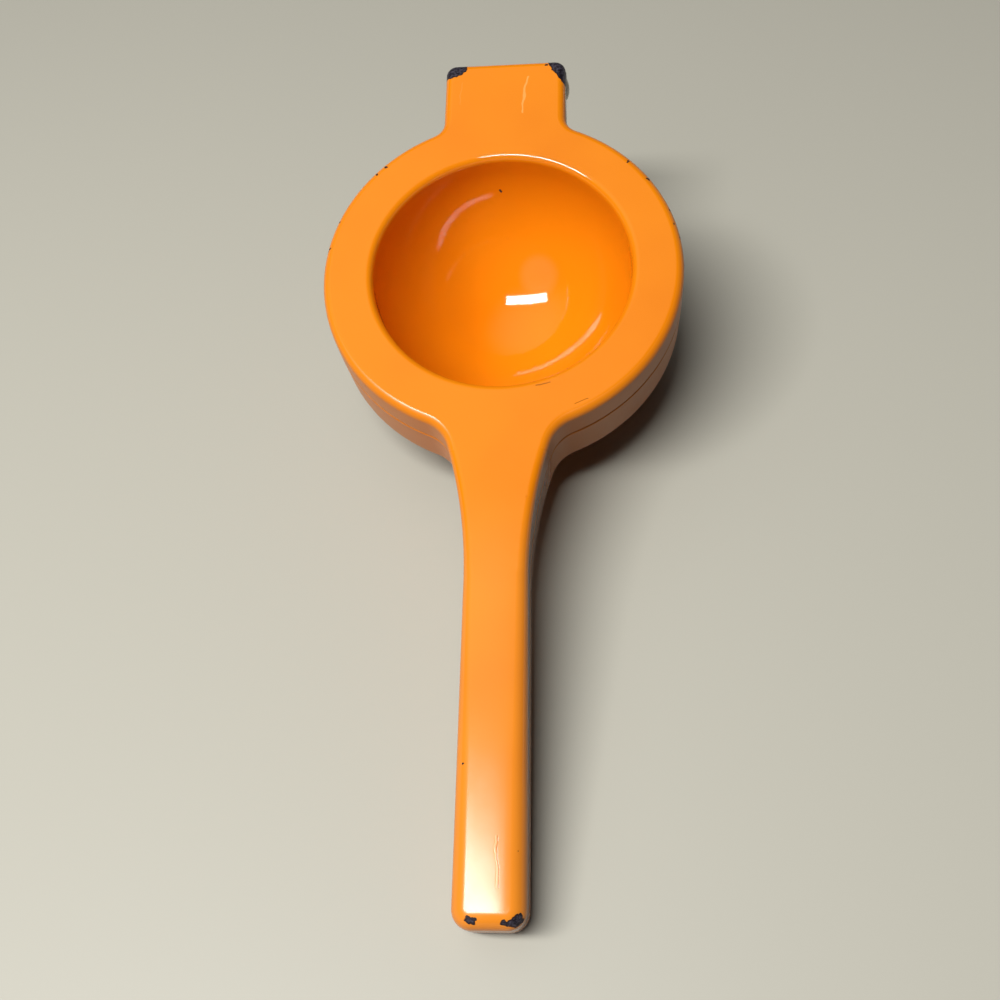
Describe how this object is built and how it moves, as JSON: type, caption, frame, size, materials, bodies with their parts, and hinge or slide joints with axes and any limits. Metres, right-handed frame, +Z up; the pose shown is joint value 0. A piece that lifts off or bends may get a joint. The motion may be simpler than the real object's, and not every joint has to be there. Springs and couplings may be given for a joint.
{
  "type": "hinged citrus squeezer",
  "caption": "Hand citrus squeezer: an enamelled press lever with a hollow dome swings on a riveted pin into a slotted cup with a long handle.",
  "frame": {"origin": "on the table, under the middle of the squeezer's length, with the squeezer closed and resting on its cup and its lower handle's end", "axes": "+Z up; +Y from the handles' end to the hinge; +X to the right as seen from the handles"},
  "size_m": [0.096, 0.229, 0.066],
  "materials": {
    "enamel_lower": "glossy enamel",
    "enamel_upper": "glossy enamel",
    "rivet_steel": "worn steel"
  },
  "bodies": {
    "cup_body": {"cup_lever": "enamel_lower"},
    "press_body": {"press_lever": "enamel_upper", "hinge_pin": "rivet_steel"}
  },
  "joints": [
    {"name": "hinge", "type": "hinge", "parent": "cup_body", "child": "press_body", "pos_m": [0, 0.10992, 0.05815], "axis": [-1, 0, 0], "range_deg": [0, 120]}
  ]
}
